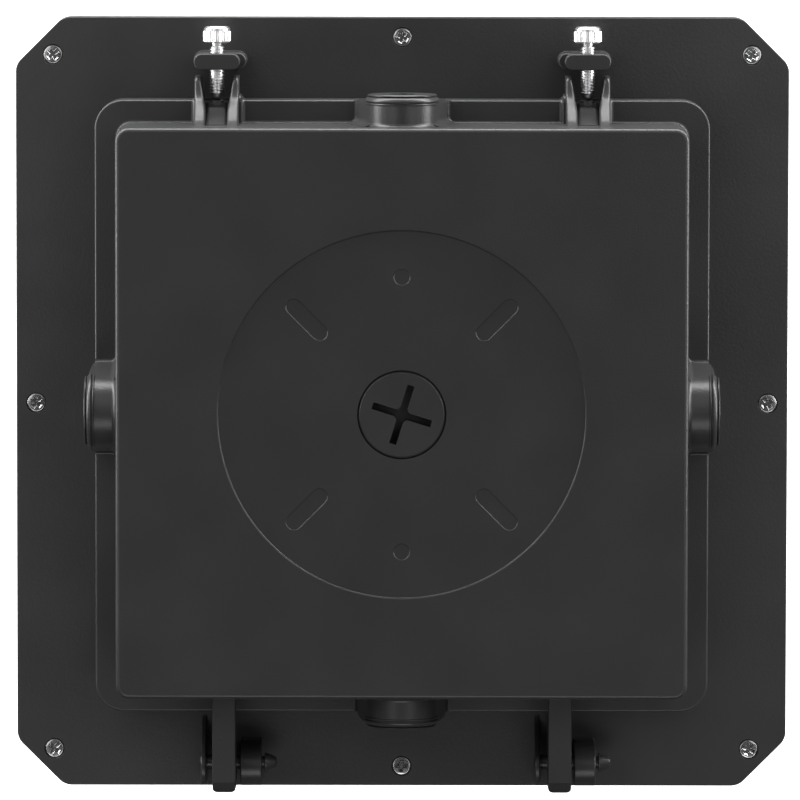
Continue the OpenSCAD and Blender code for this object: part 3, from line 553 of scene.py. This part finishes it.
# Door: the back plate of the light head, a casting with cut corners, in the same coat. Two tabs
# stand up for the cap screws, and two pairs of lugs hold the hinge pins.
PLATE_HALF = 126.5
CORNER_CUT = 15.5
CORNER_R = 2.2
UNDER_Z = -49
TAB_Y = 112.6
door = block("door_plate", (-PLATE_HALF, -PLATE_HALF, UNDER_Z), (PLATE_HALF, PLATE_HALF, PLATE_TOP))
round_off(door, CORNER_CUT, 1, upright)
round_off(door, CORNER_R, 4, upright)
round_off(door, 0.4, 3, lambda place, along: abs(along.z) < 0.1 and place.z > PLATE_TOP - TOUCH)


def racetrack(name, middle, low, high, side_low, side_high, half_thick):
    """A post with round ends, from one height to another, square across Y."""
    ends = (arc((side_high - half_thick, TAB_Y), half_thick, -90, 90, 10)
            + arc((side_low + half_thick, TAB_Y), half_thick, 90, 270, 10))
    return slab(name, [(middle + x, y, low) for x, y in ends], (0, 0, high - low))


for middle in (-LATCH_X, LATCH_X):
    inward = 1 if middle < 0 else -1
    tab = racetrack("tab", middle, -46, -27, -7.5, 7.5, 2.6)
    round_off(tab, 0.45, 3, lambda place, along: place.z > -27.1)
    reach = sorted((-inward * 7.65, inward * 9.4))
    shoulder = racetrack("shoulder", middle, -46, -35, reach[0], reach[1], 2.55)
    round_off(shoulder, 0.4, 3, lambda place, along: place.z > -35.1)
    join(tab, shoulder)
    foot = racetrack("foot", middle, -45.6, -45.0, reach[0] - 0.5, reach[1] + 0.5, 3.25)
    draw_on(foot, looks_up, ((0.3, 0.08), (0.15, 0.17), (0.09, 0.25)))
    join(tab, foot)
    thread = turned_y("thread_hole", ((109, 0), (109, 3.4), (110.4, 2.5), (114.9, 2.5), (116, 3.4),
                                      (116, 0)), middle, LATCH_Z, count=40)
    join(tab, thread, "DIFFERENCE")
    join(door, tab)

wide_lug = ([(-125.0, -46), (-125.0, -35.5)] + arc((-118.6, -34.2), 6.4, 165, 0, 11)
            + [(-112.0, -43.2), (-111.5, -44.3), (-110.4, -45.0), (-110.4, -46)])
thin_lug = ([(-124.8, -46), (-124.8, -35.5)] + arc((-118.6, -34.2), 6.2, 165, 45, 8)
            + [(-107.5, -40.5), (-105.5, -43.0), (-104.0, -44.4), (-102.5, -45.0), (-102.5, -46)])
for middle in ARM_X:
    for outline, low, high, far in ((wide_lug, 4.95, 12.0, -110.5),
                                    (thin_lug, -7.9, -6.15, -102.6)):
        lug = slab("lug", [(middle + low, y, z) for y, z in outline], (high - low, 0, 0))
        round_off(lug, 0.5, 3, lambda place, along: (abs(along.x) < 0.1 and place.z > -45.1
                                                     and place.y < far))
        join(door, lug)
    bore = turned_x("lug_bore", ((-9, 0), (-9, 2.5), (11.6, 2.5), (12.4, 3.3), (12.4, 0)),
                    PIN_Y, PIN_Z, middle)
    join(door, bore, "DIFFERENCE")

screw_places = ([(x, y) for x in (-114.3, 114.3) for y in (-114.3, 114.3)]
                + [(120, 0), (-120, 0), (0, 120), (0, -120)])
for x, y in screw_places:
    sink = turned_z("screw_sink", ((0, -44), (3.5, -44.85), (3.25, -45.15), (3.25, -46.2),
                                   (1.55, -46.2), (1.55, -50), (0, -50)), x, y, 40)
    join(door, sink, "DIFFERENCE")
GROMMET_X = -81
DRIVER_Y = -40
way = turned_z("lead_way", ((0, -44), (4, -44), (4, -50), (0, -50)), GROMMET_X, DRIVER_Y, 40)
join(door, way, "DIFFERENCE")
finish(door, "door_plate_casting", "head", "coat", coat, "door_housing")

# Frame screws: zinc-plated cross-head screws, sunk in the plate, that hold the lens frame.
zinc = finish_material("zinc_plate", (0.60, 0.60, 0.61), 0.24, metallic=1.0, grain=700,
                       depth=0.006, spread=0.05)
SCREW_TURNS = (38, 52, 25, 33, 60, 41, 28, 4)


def plus(long, narrow):
    """Outline of a cross, by the half length and the half width of its bars."""
    points = [(long, -narrow), (long, narrow), (narrow, narrow)]
    for _ in range(3):
        points += [(-y, x) for x, y in points[-3:]]
    return points


def cross_recess(screw, x, y, top, deeper, turn=0):
    """Sinks a cross with sloping walls in a screw's head, from its top downwards or upwards."""
    cross = slab("cross", [(x + a, y + b, top - 0.1 * deeper) for a, b in plus(2.0, 0.75)],
                 (0, 0, 0.2 * deeper))
    draw_on(cross, looks_up if deeper > 0 else looks_down, ((0.4, 0.4), (0.03, 0.9)))
    bpy.ops.object.mode_set(mode="EDIT")
    bpy.ops.mesh.select_all(action="SELECT")
    bpy.ops.transform.rotate(value=math.radians(turn), orient_axis="Z",
                             center_override=(x * MM, y * MM, 0))
    bpy.ops.object.mode_set(mode="OBJECT")
    join(screw, cross, "DIFFERENCE")


screws = None
for (x, y), turn in zip(screw_places, SCREW_TURNS):
    screw = turned_z("frame_screw", ((0, -45.0), (2.7, -45.02), (2.9, -45.1), (3.05, -45.3),
                                     (3.1, -45.6), (3.1, -46.2), (1.5, -46.2), (1.5, -54.6),
                                     (0, -54.7)), x, y, 32)
    cross_recess(screw, x, y, PLATE_TOP, -1, turn)
    screws = gather(screws, screw)
finish(screws, "frame_screw_set", "head", "zinc", zinc, "frame_screws")

# Rear plug: a black-coated threaded plug, flush in the recess, with a cross slot.
plug_coat = finish_material("black_plug", (0.032, 0.032, 0.033), 0.38)
rear_plug = turned_z("rear_plug_body", ((0, -0.8), (13.5, -0.8), (13.95, -1.15), (13.95, -2.0),
                                        (14.35, -2.2), (14.35, -10.6), (14.1, -10.8), (0, -10.8)),
                     count=96)
cross = slab("cross_slot", [(x, y, 0.2) for x, y in plus(9.9, 1.15)], (0, 0, -7.6))
round_off(cross, 1.5, 5, lambda place, along: (upright(place, along) and abs(place.x) < 2
                                               and abs(place.y) < 2))
turn_about_z(cross, -17.5)
join(rear_plug, cross, "DIFFERENCE")
finish(rear_plug, "rear_plug_cross", "box", "plug", plug_coat, "rear_plug")

# Side plugs: moulded plugs in the four hubs, each with a thin rim and a hexagon socket.
plastic = finish_material("black_moulded_plastic", (0.028, 0.028, 0.029), 0.35)
for turn, place in zip(QUARTERS, ("top", "left", "bottom", "right")):
    plug = turned_y("side_plug", ((91, 0), (91, 9.5), (91.4, 9.85), (102.0, 9.85), (102.15, 11.0),
                                  (102.3, 11.2), (102.55, 11.2), (102.8, 10.9), (102.8, 0)),
                    z=HUB_Z)
    socket = turned_y("hexagon", ((99.1, 0), (99.1, 4.62), (103.3, 4.62), (103.3, 0)), z=HUB_Z,
                      count=6)
    join(plug, socket, "DIFFERENCE")
    turn_about_z(plug, turn)
    finish(plug, "conduit_plug_" + place, "box", "plug", plastic, "side_plug_" + place)

# Hinge pins: moulded plastic, pressed in the lugs, each with a neck and a snap head.
pin_plastic = finish_material("black_pin_plastic", (0.030, 0.030, 0.031), 0.33)
for middle, side in zip(ARM_X, ("left", "right")):
    pin = turned_x("pin", ((-8.15, 0), (-8.15, 2.1), (-7.8, 2.5), (11.5, 2.5), (11.85, 2.0),
                           (12.9, 2.0), (12.95, 2.95), (13.15, 3.1), (13.6, 3.05), (16.3, 1.95),
                           (16.75, 1.6), (16.95, 1.1), (16.95, 0)), PIN_Y, PIN_Z, middle)
    finish(pin, "hinge_pin_moulding_" + side, "head", "pin", pin_plastic, "hinge_pin_" + side)

# Cap screws: stainless steel, with a knurled head, a hexagon socket, a rolled thread and a plain
# point. Each is drawn backed out by 3.4 mm, as in the photograph.
SEAT_Y = 118.6
KNURL_EDGES = 88
KNURL_DEPTH = 0.965
THREAD_PITCH = 1.0
THREAD_TURNS = 15
TURN_STEPS = 28
steel = finish_material("stainless_steel", (0.92, 0.92, 0.93), 0.32, metallic=1.0, grain=1200,
                        depth=0.02, mottle=0.08)


def move(piece, way):
    """Moves a piece along a way."""
    bpy.ops.object.select_all(action="DESELECT")
    piece.select_set(True)
    piece.location = [c * MM for c in way]
    bpy.ops.object.transform_apply(location=True)


def edge_number(place, middle):
    """Counts the long edges round a head, from the one at its top."""
    turn = math.degrees(math.atan2(place.x - middle, place.z - LATCH_Z))
    return round(turn * KNURL_EDGES / 360)


for middle, side in ((-LATCH_X, "left"), (LATCH_X, "right")):
    head = turned_y("head", ((0.04, 0), (0.04, 3.7), (0.4, 4.22), (0.6, 4.26), (0.6, 4.5),
                             (3.85, 4.5), (3.85, 4.26), (4.75, 4.2), (5.3, 3.6), (5.3, 0)),
                    middle, LATCH_Z, SEAT_Y, KNURL_EDGES)
    pick(head, "EDGE", lambda place, along: (abs(along.y) > 0.9 and place.y < SEAT_Y + 3.7
                                             and edge_number(place, middle) % 2 == 0))
    bpy.ops.transform.resize(value=(KNURL_DEPTH, 1, KNURL_DEPTH))
    bpy.ops.object.mode_set(mode="OBJECT")
    socket = turned_y("socket", ((2.4, 0), (2.4, 2.31), (5.5, 2.31), (5.5, 0)), middle, LATCH_Z,
                      SEAT_Y, 6)
    join(head, socket, "DIFFERENCE")
    shank = turned_y("shank", ((0.3, 0), (0.3, 1.75), (-0.9, 1.6), (-1.3, 2.05), (-16.3, 2.05),
                               (-16.4, 1.9), (-17.6, 1.55), (-17.6, 0)), middle, LATCH_Z,
                     SEAT_Y, 40)
    join(head, shank)
    # The thread: one tooth, wound round the shank on its own and left to run into it.
    tooth = trace("thread", [(middle, SEAT_Y + y, LATCH_Z + r) for y, r in
                             ((-1.75, 1.85), (-1.32, 2.42), (-1.2, 2.42), (-0.77, 1.85))])
    bpy.ops.mesh.select_all(action="SELECT")
    bpy.ops.mesh.edge_face_add()
    bpy.ops.mesh.delete(type="ONLY_FACE")
    bpy.ops.object.mode_set(mode="OBJECT")
    move(tooth, (-middle, 0, -LATCH_Z))
    wind = tooth.modifiers.new("wind", "SCREW")
    wind.axis = "Y"
    wind.screw_offset = -THREAD_PITCH * MM
    wind.iterations = THREAD_TURNS
    wind.steps = TURN_STEPS
    wind.render_steps = TURN_STEPS
    bpy.context.view_layer.objects.active = tooth
    bpy.ops.object.modifier_apply(modifier=wind.name)
    move(tooth, (middle, 0, LATCH_Z))
    bpy.ops.object.mode_set(mode="EDIT")
    bpy.ops.mesh.select_mode(type="EDGE")
    bpy.ops.mesh.select_all(action="SELECT")
    bpy.ops.mesh.remove_doubles(threshold=1e-7)
    bpy.ops.mesh.fill_holes(sides=4)
    close_up()
    bpy.ops.object.select_all(action="DESELECT")
    tooth.select_set(True)
    head.select_set(True)
    bpy.context.view_layer.objects.active = head
    bpy.ops.object.join()
    finish(head, "knurled_cap_screw_" + side, "cap_" + side, "cap_steel", steel,
           "cap_screw_" + side)

# Lens frame: a cast frame in the same coat, cut at the corners as the plate is. It slopes down to
# its opening, and clamps the lens and the lens gasket against the plate.
OPENING = 104
OPENING_R = 14
SLOPE_HALF = 125.6
border = block("border", (-PLATE_HALF, -PLATE_HALF, -54), (PLATE_HALF, PLATE_HALF, UNDER_Z))
round_off(border, CORNER_CUT, 1, upright)
round_off(border, CORNER_R, 4, upright)
draw_on(border, looks_down, ((0.2, 0.5), (0.5, 0.3)))
slope = block("slope", (-SLOPE_HALF, -SLOPE_HALF, -54.75), (SLOPE_HALF, SLOPE_HALF, -53.5))
round_off(slope, 14.97, 1, upright)
draw_on(slope, looks_down, ((17.0, 4.95), (0.35, 0.2), (0.25, 0.1)))
join(border, slope)
opening = rounded_block("opening", OPENING + 0.8, OPENING_R + 0.8, -60.5, -60.0,
                        ((0.5, 0.15), (0.2, 0.25), (0.1, 0.4), (0.02, 12)))
join(border, opening, "DIFFERENCE")
join(border, rounded_block("rebate", 111.6, 7, -53, -48), "DIFFERENCE")
for x, y in screw_places:
    hole = turned_z("screw_hole", ((0, -48), (1.55, -48), (1.55, -55.2), (0, -55.4)), x, y, 24)
    join(border, hole, "DIFFERENCE")
finish(border, "lens_frame_casting", "head", "coat", coat, "lens_frame")

# Lens: a frosted polycarbonate tray, moulded with a flat flange. It is made face up and turned
# over, as it lies face down.
lens = rounded_block("lens_tray", 111, 7, 50.5, 53)
tray = rounded_block("tray", 103.4, 13.4, 52.5, 54,
                     as_steps([(103.4, 54), (100.2, 72.8)] + arc((97.2, 73), 3, 8, 90, 7)))
inside = rounded_block("inside", 100.9, 10.9, 49, 54,
                       as_steps([(100.9, 54), (97.9, 71.4)] + arc((95.9, 71.5), 2, 8, 90, 6)))
join(lens, tray)
join(lens, inside, "DIFFERENCE")
lens.rotation_euler.x = math.pi
bpy.ops.object.select_all(action="DESELECT")
lens.select_set(True)
bpy.ops.object.transform_apply(location=True, rotation=True, scale=True)
frosted = finish_material("frosted_polycarbonate", (0.74, 0.76, 0.76), 0.42, grain=2600,
                          depth=0.03, spread=0.05, mottle=0.03)
frosted_shader = frosted.node_tree.nodes["Principled BSDF"]
frosted_shader.inputs["Transmission Weight"].default_value = 0.4
frosted_shader.inputs["IOR"].default_value = 1.58
finish(lens, "lens_tray", "head", "frosted", frosted, "lens")

# Box gasket: a silicone bead with a round top, glued on the plate under the box's rim.
silicone = finish_material("grey_silicone", (0.26, 0.27, 0.28), 0.55, level=0.4, grain=1100,
                           depth=0.03, mottle=0.08)
bead = rounded_block("bead", 99.8, 9.1, -45, -44.6, (
    (0.15, 0.4), (0.35, 0.3), (0.6, 0.17), (0.9, 0.03),
    (0.9, -0.03), (0.6, -0.17), (0.35, -0.3), (0.15, -0.4)))
join(bead, rounded_block("inside", 95.81, 5.1, -46, -43), "DIFFERENCE")
finish(bead, "box_gasket_bead", "head", "silicone", silicone, "box_gasket")

# Chips: ceramic packages in rows under the board, each with a dome of yellow phosphor.
BOARD_UNDER = -50.6
CHIP_PITCH = 20
CHIPS_A_ROW = 8
chip = block("chip", (-71.5, -71.5, -50.95), (-68.5, -68.5, BOARD_UNDER))
round_off(chip, 0.25, 2, upright)
draw_on(chip, looks_down, ((0.3, 0), (0.15, 0.2), (0.35, 0.1), (0.4, 0.05)))
for step in ((CHIP_PITCH, 0, 0), (0, CHIP_PITCH, 0)):
    rows = chip.modifiers.new("rows", "ARRAY")
    rows.count = CHIPS_A_ROW
    rows.use_relative_offset = False
    rows.use_constant_offset = True
    rows.constant_offset_displace = [c * MM for c in step]
    bpy.context.view_layer.objects.active = chip
    bpy.ops.object.modifier_apply(modifier=rows.name)
phosphor = finish_material("phosphor_dome", (0.80, 0.56, 0.14), 0.35, grain=1800, depth=0.01,
                           spread=0.04, mottle=0.05)
finish(chip, "light_chip_array", "head", "phosphor", phosphor, "led_chips")

# Board and driver screws: zinc-plated pan heads with a cross recess, in the board and the feet.
FOOT_X = 70


def pan_screw(x, y, seat, up, shank):
    """Makes a pan-head screw at a place, whose head stands up or down from its seat."""
    profile = ((0, 1.8), (1.2, 1.75), (2.1, 1.5), (2.65, 1.0), (2.8, 0.4), (2.8, 0),
               (1.5, 0), (1.5, 0.4 - shank), (1.2, -shank), (0, -shank))
    screw = turned_z("pan_screw", [(r, seat + up * z) for r, z in profile], x, y, 32)
    cross_recess(screw, x, y, seat + up * 1.8, -up)
    return screw


board_screws = None
for x, y in ((0, 0), (-80, -80), (80, -80), (-80, 80), (80, 80)):
    board_screws = gather(board_screws, pan_screw(x, y, BOARD_UNDER, -1, 4.4))
finish(board_screws, "board_screw_set", "head", "zinc", zinc, "board_screws")
driver_screws = pan_screw(-FOOT_X, DRIVER_Y, -42.5, 1, 5.3)
join(driver_screws, pan_screw(FOOT_X, DRIVER_Y, -42.5, 1, 5.3))
finish(driver_screws, "driver_screw_set", "head", "zinc", zinc, "driver_screws")

# Board socket: a moulded two-way socket on the board, with funnels for the output leads and two
# slots for the release tool.
SOCKET_Z = -52.6
socket = block("socket", (-74.5, -44.5, -54.6), (-66.5, -35.5, BOARD_UNDER))
round_off(socket, 0.4, 2, lambda place, along: place.z < -50.7)
for lane in (-2, 2):
    funnel = turned_x("funnel", ((-75, 0), (-75, 1.5), (-74.4, 1.35), (-73.6, 0.92),
                                 (-72.4, 0.92), (-72.4, 0)), DRIVER_Y + lane, SOCKET_Z, count=24)
    join(socket, funnel, "DIFFERENCE")
    slot = block("slot", (-71, -40.7 + lane, -55), (-68.5, -39.3 + lane, -53.6))
    join(socket, slot, "DIFFERENCE")
ivory = finish_material("ivory_nylon", (0.74, 0.71, 0.62), 0.4, depth=0.02, spread=0.05,
                        mottle=0.05)
finish(socket, "board_socket_moulding", "head", "socket", ivory, "board_socket")

# Driver case: an extruded aluminium sleeve with rounded edges, cooling grooves along its top and
# a seam groove along each side.
CASE_END = 60
case_half = ([(22, -45), (22, -37.2), (21.3, -36.7), (21.3, -35.3), (22, -34.8), (22, -20.5)]
             + arc((19.5, -20.5), 2.5, 22, 68, 2)
             + [(19.5, -18)]
             + [point for y in (16, 11, 6) for point in
                ((y + 0.9, -18), (y + 0.7, -18.9), (y - 0.7, -18.9), (y - 0.9, -18))]
             + [(0.9, -18), (0.7, -18.9)])
case = slab("case", [(-CASE_END, DRIVER_Y + y, z) for y, z in mirrored(case_half)],
            (2 * CASE_END, 0, 0))
shell = finish_material("anodised_aluminium", (0.62, 0.63, 0.64), 0.34, metallic=1.0, grain=1400,
                        depth=0.02, spread=0.07, mottle=0.06)
finish(case, "driver_sleeve", "head", "driver_shell", shell, "driver_case")

# Driver ends: moulded caps with a foot each. The leads leave through short collars, three supply
# leads on the right and two output leads on the left.
LEAD_Z = -39
OUTPUT_LANES = (-42, -38)
ends = None
for side, lanes, wire_r in ((1, (-23, -29, -35), 1.3), (-1, OUTPUT_LANES, 0.9)):
    low, high = sorted((side * CASE_END, side * 65))
    end = block("end", (low, -62, PLATE_TOP), (high, -18, -18))
    round_off(end, 1.2, 3, lambda place, along: side * place.x > 60.5 and place.z > -44.9)
    low, high = sorted((side * 64, side * 74))
    foot = block("foot", (low, -45.6, PLATE_TOP), (high, -34.4, -42.5))
    round_off(foot, 3.0, 5, lambda place, along: upright(place, along) and side * place.x > 73)
    round_off(foot, 0.4, 3, lambda place, along: place.z > -42.6)
    join(end, foot)
    for lane in lanes:
        collar = turned_x("collar", [(side * x, r) for x, r in
                                     ((64.1, 0), (64.1, wire_r + 0.9), (66.2, wire_r + 0.7),
                                      (66.6, wire_r + 0.45), (66.6, 0))], lane, LEAD_Z, count=24)
        join(end, collar)
        bore = turned_x("bore", [(side * x, r) for x, r in
                                 ((62.9, 0), (62.9, wire_r + 0.03), (67, wire_r + 0.03), (67, 0))],
                        lane, LEAD_Z, count=24)
        join(end, bore, "DIFFERENCE")
    hole = turned_z("hole", ((0, -46), (1.6, -46), (1.6, -42), (0, -42)), side * FOOT_X, DRIVER_Y,
                    24)
    join(end, hole, "DIFFERENCE")
    ends = gather(ends, end)
end_plastic = finish_material("black_driver_end", (0.022, 0.022, 0.023), 0.45, grain=1300,
                              depth=0.03, mottle=0.10)
finish(ends, "driver_end_mouldings", "head", "driver_end", end_plastic, "driver_caps")

# Grommet: a rubber bush in the plate, round the two output leads.
bush = turned_z("bush", ((0, -49), (3.6, -49), (3.95, -48.6), (3.95, -45), (6.0, -45),
                         (6.0, -44.4), (5.6, -43.95), (5.0, -43.8), (0, -43.8)),
                GROMMET_X, DRIVER_Y, 48)
for lane in OUTPUT_LANES:
    bore = turned_z("bore", ((0, -50), (0.93, -50), (0.93, -43), (0, -43)), GROMMET_X, lane, 24)
    join(bush, bore, "DIFFERENCE")
rubber = finish_material("black_rubber", (0.025, 0.025, 0.026), 0.7, level=0.35, grain=900,
                         depth=0.04, mottle=0.10)
finish(bush, "lead_grommet", "head", "grommet", rubber, "wire_grommet")

# Wire connector: a moulded push-in block, with three funnels for the ceiling's wires and grooves
# between its ways.
connector = block("connector", (45, 20, PLATE_TOP), (65, 40, -34))
round_off(connector, 0.8, 3, lambda place, along: place.z > -44.9)
for lane in (24, 30, 36):
    port = turned_x("port", ((44.5, 0), (44.5, 2.6), (45.9, 2.3), (47.2, 1.8), (55, 1.8), (55, 0)),
                    lane, LEAD_Z, count=32)
    join(connector, port, "DIFFERENCE")
    seat = turned_x("seat", ((60.9, 0), (60.9, 1.33), (65.5, 1.33), (65.5, 0)), lane, LEAD_Z,
                    count=32)
    join(connector, seat, "DIFFERENCE")
    join(connector, block("probe", (57, lane - 1, -35), (60, lane + 1, -33)), "DIFFERENCE")
for groove_y in (27, 33):
    groove = block("groove", (44, groove_y - 0.4, -34.7), (66, groove_y + 0.4, -33))
    join(connector, groove, "DIFFERENCE")
amber = finish_material("orange_nylon", (0.72, 0.24, 0.03), 0.32, depth=0.02, spread=0.05,
                        mottle=0.06)
finish(connector, "push_in_connector", "head", "connector", amber, "wire_connector")

# Earthing screw: a green hexagon-washer screw with a slot, in its boss in the box.
washer = turned_z("washer", ((0, -10.9), (4.2, -10.9), (4.4, -10.7), (4.4, -10.2), (2.4, -10.2),
                             (2.4, -5.6), (2.0, -5.2), (0, -5.2)), *GROUND, 40)
hexagon = turned_z("hexagon", ((0, -13.2), (3.5, -13.2), (4.0, -12.9), (4.0, -10.6), (0, -10.6)),
                   *GROUND, 6)
join(washer, hexagon)
join(washer, block("slot", (-67, 61.4, -13.5), (-57, 62.6, -11.7)), "DIFFERENCE")
green = finish_material("green_plated_steel", (0.05, 0.30, 0.11), 0.35, metallic=0.7, grain=900,
                        depth=0.02, spread=0.08)
finish(washer, "earth_screw", "box", "ground", green, "ground_screw")

# The lens gasket, the board and the leads keep their solids, and only get their finishes.
solder_mask = finish_material("white_solder_mask", (0.78, 0.79, 0.78), 0.35, grain=1200,
                              depth=0.01, spread=0.05, mottle=0.04)
pvc_colours = {"red": (0.42, 0.02, 0.02), "black": (0.015, 0.015, 0.015),
               "white": (0.72, 0.72, 0.70), "green": (0.02, 0.22, 0.06)}
pvc = {name: finish_material(name + "_pvc", colour, 0.38, grain=1600, depth=0.01, spread=0.04,
                             mottle=0.06) for name, colour in pvc_colours.items()}
for node, material in (("lens_gasket", silicone), ("led_board", solder_mask),
                       ("lead_line", pvc["black"]), ("lead_neutral", pvc["white"]),
                       ("lead_earth", pvc["green"]), ("output_lead_red", pvc["red"]),
                       ("output_lead_black", pvc["black"])):
    frame["nodes"][node].data.materials.clear()
    frame["nodes"][node].data.materials.append(material)
